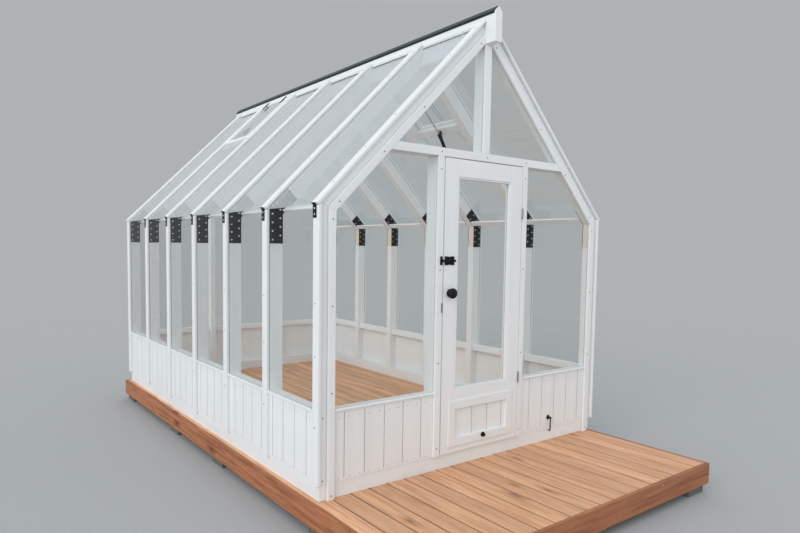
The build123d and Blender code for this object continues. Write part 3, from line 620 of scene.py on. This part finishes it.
def grooved(panel, length, places):
    """Cut upright grooves into a panel, whose faces take its second finish: darker paint as painted shade in
    the grooves.
    """
    corner = Vector((groove_width / 2, groove_width / 2, length / 2))
    cutter = block("groove_cutter", -corner, corner)
    edit(cutter)
    pick_edges(cutter, lambda middle, way: abs(way.z) > along_axis)
    bpy.ops.mesh.bevel(offset=groove_chamfer, segments=1, affect="EDGES")
    leave()
    for paint in board_paint_and_groove_shade:
        cutter.data.materials.append(paint)
        panel.data.materials.append(paint)
    # The cutter's faces become the grooves' faces and take the painted shade
    second_finish(cutter, lambda middle, normal: True)
    cutter = copies(cutter, [Matrix.Translation(place) for place in places], "groove_cutters")
    modify(panel, "BOOLEAN", operation="DIFFERENCE", solver="EXACT", object=cutter)
    bpy.data.objects.remove(cutter)
    bpy.ops.object.shade_flat()
    return panel


# Grooves of the gables' panels, and the faces that these lie on
gable_grooves = [door_post_outer + gable_groove_first + board_pitch * number
                 for number in range(gable_groove_count)]
rear_middle_grooves = [board_pitch * (number - rear_middle_groove_count // 2)
                       for number in range(rear_middle_groove_count)]
panel_front = strip_thickness
panel_rear = house_end - strip_thickness


def groove_lines():
    """Places in plan of the boards' joints: side panels, then gable panels."""
    lines = []
    for side in (-1, 1):
        for start, first in zip(frame_starts, side_groove_starts):
            lines += [(side * glass_face, start + first + board_pitch * number)
                      for number in range(side_groove_count)]
        for x in gable_grooves:
            lines += [(side * x, panel_front), (side * x, panel_rear)]
    lines += [(x, panel_rear) for x in rear_middle_grooves]
    return lines


def boarded_panels():
    """Panels under the sills, with a square groove at each board's joint."""
    length = panel_top - panel_bottom - 2 * groove_stop
    middle = (panel_top + panel_bottom) / 2
    places = [(x, y, middle) for x, y in groove_lines()]
    panels = grooved(copy_of("lower_panels", "boarded_panels"), length, places)
    dress(panels, board_paint_and_groove_shade, stands_for=["lower_panels"])


def panel_nails():
    """Nail heads at the quarters of each board, near its top and its bottom."""
    places = []
    for x, y in groove_lines():
        on_side = abs(abs(x) - glass_face) < tolerance
        outwards = (x, 0, 0) if on_side else (0, y - house_end / 2, 0)
        for step in (-board_pitch / 4, board_pitch / 4):
            spot = (x, y + step) if on_side else (x + step, y)
            places += [facing((*spot, floor + level), outwards) for level in nail_levels]
    nails = copies(turned("nail", nail_profile, 10), places, "panel_nails")
    dress(nails, [screw_steel])


def panes(node, name, finish, clear_face):
    """Panes of one node, with their ground edges told apart from their clear faces."""
    piece = dress(copy_of(node, name), [finish, pane_edge], body_of(node), [node])
    second_finish(piece, lambda middle, normal: not clear_face(middle, normal))


def looks_sideways(middle, normal):
    """Whether a face looks along X, as the side walls do."""
    return abs(normal.x) > along_axis


def looks_lengthwise(middle, normal):
    """Whether a face looks along Y, as the gables do."""
    return abs(normal.y) > along_axis


def looks_off_slope(middle, normal):
    """Whether a face looks square off its own slope of the roof, out or in."""
    return abs(normal.y) < 1 - along_axis and middle.x * normal.x * normal.z > 0


def glazing():
    """All the panes."""
    panes("wall_glass", "wall_panes", wall_pane, looks_sideways)
    panes("gable_glass", "gable_panes", wall_pane, looks_lengthwise)
    panes("door_glass", "door_pane", wall_pane, looks_lengthwise)
    panes("roof_glass", "roof_panes", roof_pane, looks_off_slope)


def deck_boarding():
    """Deck boards from the front rim to the rear one, laid from the right, the last one ripped to fit."""
    low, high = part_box("deck_floor")
    board = block("deck_board", (0, low.y, low.z), (deck_board_width, high.y, high.z))
    edit(board)
    pick_edges(board, lambda middle, way: abs(way.y) > along_axis and middle.z > high.z - tolerance)
    bpy.ops.mesh.bevel(offset=deck_board_ease, segments=3, affect="EDGES")
    leave()
    count = int((high.x - low.x) // deck_pitch)
    first = high.x - deck_board_width
    places = [Matrix.Translation((first - deck_pitch * number, 0, 0)) for number in range(count)]
    share = (high.x - deck_pitch * count - low.x) / deck_board_width
    places.append(Matrix.Translation((low.x, 0, 0)) @ Matrix.Diagonal((share, 1, 1, 1)))
    boards = copies(board, places, "deck_boards")
    bpy.ops.object.shade_smooth_by_angle(angle=smooth_angle)
    dress(boards, [board_oil], stands_for=["deck_floor"])


def deck_frame():
    """Rims, joists and pads."""
    eased_node("deck_side_rims", "oiled_side_rims", [side_rim_oil], rim_ease)
    eased_node("deck_end_rims", "oiled_end_rims", [end_rim_oil], rim_ease)
    eased_node("deck_joists", "deck_joist_timbers", [joist_oil], joist_ease)
    eased_node("deck_pads", "cast_deck_pads", [pad_concrete_painted_shade], pad_ease)


def mitred_frame(name, low, high, width, edge):
    """Four lengths of a frame that faces the gable, mitred at their corners, with eased arrises."""
    lengths = []
    for inward in (Vector((1, 0, 0)), Vector((-1, 0, 0)), Vector((0, 0, 1)), Vector((0, 0, -1))):
        near, far = low.copy(), high.copy()
        axis = 0 if inward.x else 2
        if sum(inward) > 0:
            far[axis] = low[axis] + width
        else:
            near[axis] = high[axis] - width
        length = block(name, near, far)
        edit(length)
        along = Vector((abs(inward.z), 0, abs(inward.x)))
        for end in (along, -along):
            out = end - inward
            corner = (low.x if out.x < 0 else high.x, low.y, low.z if out.z < 0 else high.z)
            bpy.ops.mesh.select_all(action="SELECT")
            bpy.ops.mesh.bisect(plane_co=corner, plane_no=inward + end, use_fill=True, clear_outer=True)
        bpy.ops.mesh.select_all(action="SELECT")
        bpy.ops.mesh.normals_make_consistent(inside=False)
        leave()
        lengths.append(ease(length, edge))
    return joined(lengths, name)


def upright_length(middle, low, high, width):
    """Whether a place lies in one of a frame's two upright lengths."""
    run = min(middle.x - low.x, high.x - middle.x)
    return run < min(middle.z - low.z, high.z - middle.z) and run < width


# Moulding round the door's panel, and the beads of its pane
moulding_width = 0.055
bead_width = 0.011
bead_setback = 0.005


def door_moulding():
    """Moulding round the door's panel, and the beads that hold the door's pane on both faces."""
    low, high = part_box("door_moulding")
    moulding = mitred_frame("mitred_door_moulding", low, high, moulding_width, moulding_ease)
    dress(moulding, [grain_across, grain_up], "door", stands_for=["door_moulding"])
    second_finish(moulding, lambda middle, normal: upright_length(middle, low, high, moulding_width))
    pane_low, pane_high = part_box("door_glass")
    leaf_low, leaf_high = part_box("door_stiles")
    faces = ((leaf_low.y + bead_setback, pane_low.y), (pane_high.y, leaf_high.y - bead_setback))
    beads = []
    for near, far in faces:
        start = Vector((pane_low.x, near, pane_low.z))
        end = Vector((pane_high.x, far, pane_high.z))
        beads.append(mitred_frame("bead", start, end, bead_width, bead_ease))
    dress(joined(beads, "door_glass_beads"), [grain_up], "door")


def door_panel():
    """The door's boarded panel with its grooves."""
    low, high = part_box("door_panel")
    places = [(x, low.y, (low.z + high.z) / 2) for x in door_grooves]
    length = groove_overrun * (high.z - low.z)
    panel = grooved(copy_of("door_panel", "boarded_door_panel"), length, places)
    dress(panel, board_paint_and_groove_shade, "door", stands_for=["door_panel"])


def screw_head(radius=screw_radius, height=screw_height):
    """Raised countersunk head with a driver recess."""
    side = [(radius, 0), (radius, height * 0.4), (radius * 0.8, height)]
    recess = [(radius * 0.42, height), (radius * 0.30, height * 0.2)]
    return turned("screw", side + recess, 12)


def on_slope(x, offset):
    """Level of a line that lies offset outside the rafters' outer faces."""
    return apex + offset / cos(roof_pitch) - abs(x) * tan(roof_pitch)


def wall_screw_places(side, start):
    """Places of the screws of one wall strip, its post's foot and its roof cap."""
    y = start + timber * strip_screw_share
    spots = [(strip_face, y, floor + level) for level in strip_screw_levels]
    nearest = gable_recess + foot_screw_margin
    foot = min(max(start + foot_screw_inset, nearest), house_end - nearest)
    spots.append((post_face, foot, floor + foot_screw_level))
    places = [facing((side * x, y, level), (side, 0, 0)) for x, y, level in spots]
    outwards = (side * sin(roof_pitch), 0, cos(roof_pitch))
    for number in range(cap_screw_count):
        x = cap_screw_first + cap_screw_step * cos(roof_pitch) * number
        level = on_slope(x, glass_thickness + strip_thickness)
        places.append(facing((side * x, start + timber / 2, level), outwards))
    return places


def gable_screw_places(side, face, way):
    """Places of the screws of half a gable: corner strip, door post, corner post and rafter strip."""
    strip_middle = post_inner + gable_strip_width / 2
    door_post_middle = (door_post_outer + opening_half) / 2
    post_middle = (post_inner + gable_strip_width + post_face) / 2
    spots = [(strip_middle, face, floor + level) for level in corner_screw_levels]
    spots += [(door_post_middle, face, floor + level) for level in door_post_screw_levels]
    spots += [(post_middle, face - way * gable_recess, floor + level) for level in post_screw_levels]
    spots += [(x, face, on_slope(x, gable_strip_width / 2 - rafter_depth)) for x in rafter_screw_places]
    return [facing((side * x, y, level), (0, way, 0)) for x, y, level in spots]


def timber_screws():
    """Screws of the wall strips, gable strips, posts, beams and roof caps, at the levels photographed."""
    places = []
    for side in (-1, 1):
        for start in frame_starts:
            places += wall_screw_places(side, start)
        for face, way in gables:
            places += gable_screw_places(side, face, way)
    for face, way in gables:
        places += [facing((x, face, beam_middle), (0, way, 0)) for x in beam_screw_places]
    dress(copies(screw_head(), places, "timber_screws"), [screw_steel])


# Gusset plates and clips at the eaves, with their screws
plate_thickness = 0.003
clip_thickness = 0.0028
plate_screw_radius = 0.0058
plate_screw_height = 0.0014
plate_screw_edge = 0.018
plate_screw_top = 0.205
plate_screw_step = 0.054
outer_screw_count, inner_screw_count, leg_screw_count = 5, 4, 3
leg_screw_first = 0.040
leg_screw_run = 0.045
leg_row_shift = 0.020
clip_screw_inset = 0.019
clip_screw_drops = (0.020, 0.052)


def plate_screw_places(side, y, way):
    """Places of one gusset plate's screws: two rows up its post's leg and two along its rafter's."""
    foot = eaves - plate_screw_top
    outer, inner = post_face - plate_screw_edge, post_inner + plate_screw_edge
    spots = [(outer, foot + plate_screw_step * number) for number in range(outer_screw_count)]
    spots += [(inner, foot + plate_screw_step * (number + 0.5)) for number in range(inner_screw_count)]
    for number in range(leg_screw_count):
        x = post_inner + leg_screw_first - leg_screw_run * number
        spots.append((x, on_slope(x, -plate_screw_edge)))
        x -= leg_screw_run / 2 + leg_row_shift
        spots.append((x, on_slope(x, plate_screw_edge - rafter_depth)))
    return [facing((side * x, y, level), (0, way, 0)) for x, level in spots]


def eaves_plates():
    """Black gusset plates inside each eaves joint, and the bright screws of plates and clips."""
    eased_node("eaves_brackets", "black_gusset_plates", [black_coat], metal_ease)
    eased_node("eaves_clips", "black_eaves_clips", [black_coat], metal_ease)
    strip_head = on_slope(strip_face, glass_thickness)
    places = []
    for side in (-1, 1):
        clip_face = side * (strip_face + clip_thickness)
        for start in frame_starts[:-1]:
            places += plate_screw_places(side, start + timber + plate_thickness, 1)
            places += plate_screw_places(side, start + bay - plate_thickness, -1)
            y = start + timber - clip_screw_inset
            places += [facing((clip_face, y, strip_head - drop), (side, 0, 0)) for drop in clip_screw_drops]
    screws = copies(screw_head(plate_screw_radius, plate_screw_height), places, "bright_plate_screws")
    dress(screws, [bright_zinc])


# Door knobs, their round part turned from a first angle off its axis, in degrees, a step at a time
knob_radius = 0.0335
knob_depth = 0.0235
knob_reach = 0.0300
knob_neck_radius = 0.011
knob_neck_waist = 0.0099
knob_waist_rise = 0.004
knob_ball_start = 26
knob_ring_step = 12


def door_knobs():
    """Smooth round knobs on their necks, one on each face of the lock stile."""
    low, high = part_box("door_knob")
    leaf_low, leaf_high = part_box("door_stiles")
    rose = leaf_low.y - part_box("knob_roses")[0].y
    profile = [(knob_neck_radius, rose), (knob_neck_waist, rose + knob_waist_rise)]
    profile += [(knob_radius * sin(radians(angle)), knob_reach - knob_depth * cos(radians(angle)))
                for angle in range(knob_ball_start, 180 - knob_ball_start // 2, knob_ring_step)]
    x, z = (low.x + high.x) / 2, (low.z + high.z) / 2
    places = [facing((x, leaf_low.y, z), (0, -1, 0)), facing((x, leaf_high.y, z), (0, 1, 0))]
    knobs = copies(turned("knob", profile, 40), places, "turned_door_knobs")
    dress(knobs, [black_coat], "knob", ["door_knob"])


# Vent openers, their heads at a run down the slope and a drop under the rafters' outer faces
opener_run, opener_drop = 0.664, 0.0673
opener_fall = radians(60)

# Profiles of the openers, as radii and distances from the head
opener_tube = [(0.0130, 0), (0.0165, 0.003), (0.0165, 0.040), (0.0135, 0.046),
               (0.0135, 0.244), (0.0105, 0.250)]
opener_rod = [(0.0065, 0), (0.0065, 0.120), (0.0065, 0.238), (0.0055, 0.240)]
opener_bracket = ((-0.012, -0.010, 0), (0.012, 0.010, 0.022))
bracket_ease = 0.002

# Ends of the openers' arms, as distances from the house's middle and above the deck
arm_top, arm_foot = (0.361, 2.595), (0.514, 2.468)
arm_radius = 0.003
arm_offset = 0.016


def vent_openers():
    """Openers: a black tube and a steel rod hung from the trimmer, and two thin arms over the pane."""
    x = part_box("ridge_beam")[1].x + opener_run * cos(roof_pitch) - opener_drop * sin(roof_pitch)
    bracket = ease(block("bracket", *opener_bracket), bracket_ease)
    tubes, rods, brackets, arms = [], [], [], []
    for side, number in ((-1, left_vent_bay), (1, right_vent_bay)):
        y = bay * number + (bay + timber) / 2
        head = (side * x, y, on_slope(x, -opener_drop))
        tubes.append(facing(head, (side * cos(opener_fall), 0, -sin(opener_fall))))
        rods.append(facing(head, (-side * cos(roof_pitch), 0, sin(roof_pitch))))
        brackets.append(facing(head, (side * sin(roof_pitch), 0, cos(roof_pitch))))
        run = Vector((side * (arm_top[0] - arm_foot[0]), 0, arm_top[1] - arm_foot[1]))
        for offset in (-arm_offset, arm_offset):
            arms.append(facing((side * arm_foot[0], y + offset, floor + arm_foot[1]), run))
    black = joined([copies(turned("tube", opener_tube, 24), tubes, "opener_tubes"),
                    copies(bracket, brackets, "opener_brackets")], "vent_opener_tubes")
    dress(black, [black_coat], stands_for=["vent_openers"])
    dress(copies(turned("rod", opener_rod, 16), rods, "vent_opener_rods"), [rod_steel])
    length = run.length
    arm = turned("arm", [(arm_radius, 0), (arm_radius, length * 0.5), (arm_radius, length)], 12)
    dress(copies(arm, arms, "vent_opener_arms"), [rod_steel])


# What comes off the ridge cap's legs
ridge_cap_trim = 0.012


def ridge_capping():
    """Folded ridge cap, its legs trimmed to the depth that the photograph shows."""
    cap = copy_of("ridge_cap", "dark_ridge_cap")
    foot = Vector((0, 0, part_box("ridge_cap")[0].z + ridge_cap_trim))
    edit(cap)
    bpy.ops.mesh.select_all(action="SELECT")
    bpy.ops.mesh.bisect(plane_co=foot, plane_no=(0, 0, -1), use_fill=True, clear_outer=True)
    leave()
    dress(ease(cap, metal_ease), [dark_roof_coat], stands_for=["ridge_cap"])


def metal_fittings():
    """Hinges, bolt, roses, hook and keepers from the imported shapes, with eased edges."""
    eased_node("vent_hinges", "black_vent_hinges", [matt_black], metal_ease)
    for node in ("bolt_plate", "knob_roses", "door_eye_plate", "bolt_rod", "hook_plate", "door_hook"):
        eased_node(node, f"black_{node}", [black_coat], metal_ease)
    keepers = eased_node("post_keepers", "keeper_and_strike", [black_coat, hinge_steel], metal_ease)
    keeper_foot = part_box("knob_roses")[1].z
    second_finish(keepers, lambda middle, normal: middle.z < keeper_foot)
    for node in ("door_hinge_leaves", "post_hinge_leaves"):
        eased_node(node, f"steel_{node}", [hinge_steel], metal_ease / 2)


# The photograph's view, as fitted to the house's own edges
camera_place = (-2.997, -2.930, 1.638)
camera_turn = (86.05, -0.82, -37.35)
camera_lens = 27.94
camera_sensor = 36.0
camera_shift = (0.0079, 0.0295)
camera_reach = 200

# Light, and the grey that the floor and the background share
backdrop = (0.430, 0.445, 0.455)
high_sky = (0.60, 0.64, 0.67)
sky_light = (0.96, 0.98, 1.0, 1.0)
sky_strength = 0.85
sun_strength = 1.22
sun_turn = (66, 0, -68)
sun_spread = 50

# The floor, the share of light that it sends back, and the distances over which it fades
floor_size = 80
floor_light = 0.995
floor_middle = (0, 1.5, 0)
fade_start, fade_end = 4.5, 14.0

# Height in the sky at which it turns pale, as seen and as mirrored
seen_rise, mirrored_rise = (0.34, 0.48), (0.16, 0.34)


def camera():
    """The photograph's camera."""
    data = bpy.data.cameras.new("camera")
    stand = bpy.data.objects.new("camera", data)
    bpy.context.scene.collection.objects.link(stand)
    stand.location = camera_place
    stand.rotation_euler = Euler([radians(angle) for angle in camera_turn])
    data.lens = camera_lens
    data.sensor_width = camera_sensor
    data.shift_x, data.shift_y = camera_shift
    data.clip_end = camera_reach
    bpy.context.scene.camera = stand


def pale_floor():
    """Plain floor that fades into the background far from the house."""
    bpy.ops.object.select_all(action="DESELECT")
    bpy.ops.mesh.primitive_plane_add(size=floor_size, location=(0, 0, 0))
    ground = bpy.context.object
    ground.name = "pale_floor"
    finish = new_finish("pale_floor_paint")
    away = finish.add("ShaderNodeVectorMath", {"operation": "DISTANCE"}, {0: finish.place, 1: floor_middle},
                      output="Value")
    colour = (*scaled(backdrop, 1 / floor_light), 1.0)
    shader = finish.surface({"Base Color": colour, "Roughness": 0.9, "Specular IOR Level": 0.0})
    clear = finish.add("ShaderNodeBsdfTransparent")
    fade = away.between(fade_start, fade_end)
    faded = finish.add("ShaderNodeMixShader", {}, {0: fade, 1: shader, 2: clear})
    ground.data.materials.append(finish.finished(faded))


def soft_sky():
    """Even light, and a grey background that turns pale overhead, sooner where metal and glass mirror it."""
    world = bpy.data.worlds.new("soft_sky")
    bpy.context.scene.world = world
    sky = Finish(world)
    direction = sky.add("ShaderNodeTexCoord", output="Generated")
    height = sky.axis("Z", direction)
    light = sky.add("ShaderNodeBackground", {}, {"Color": sky_light, "Strength": sky_strength})
    rays = [sky.add("ShaderNodeLightPath", output=ray)
            for ray in ("Is Camera Ray", "Is Glossy Ray", "Is Transmission Ray")]
    plain = sky.mix(height.between(*seen_rise), backdrop, high_sky)
    mirrored = sky.mix(height.between(*mirrored_rise), backdrop, high_sky)
    seen = sky.add("ShaderNodeBackground", {}, {"Color": sky.mix(rays[1], plain, mirrored)})
    share = rays[0].larger(rays[1]).larger(rays[2])
    mixed = sky.add("ShaderNodeMixShader", {}, {0: share, 1: light, 2: seen})
    sky.finished(mixed, "ShaderNodeOutputWorld")


def soft_sun():
    """A broad, low sun from the left, and the Standard view of colours."""
    data = bpy.data.lights.new("soft_sun", "SUN")
    data.energy = sun_strength
    data.angle = radians(sun_spread)
    lamp = bpy.data.objects.new("soft_sun", data)
    lamp.rotation_euler = Euler([radians(angle) for angle in sun_turn])
    bpy.context.scene.collection.objects.link(lamp)
    bpy.context.scene.view_settings.view_transform = "Standard"


camera()
pale_floor()
soft_sky()
soft_sun()
painted_timbers()
boarded_panels()
panel_nails()
glazing()
deck_boarding()
deck_frame()
door_moulding()
door_panel()
timber_screws()
eaves_plates()
door_knobs()
vent_openers()
ridge_capping()
metal_fittings()
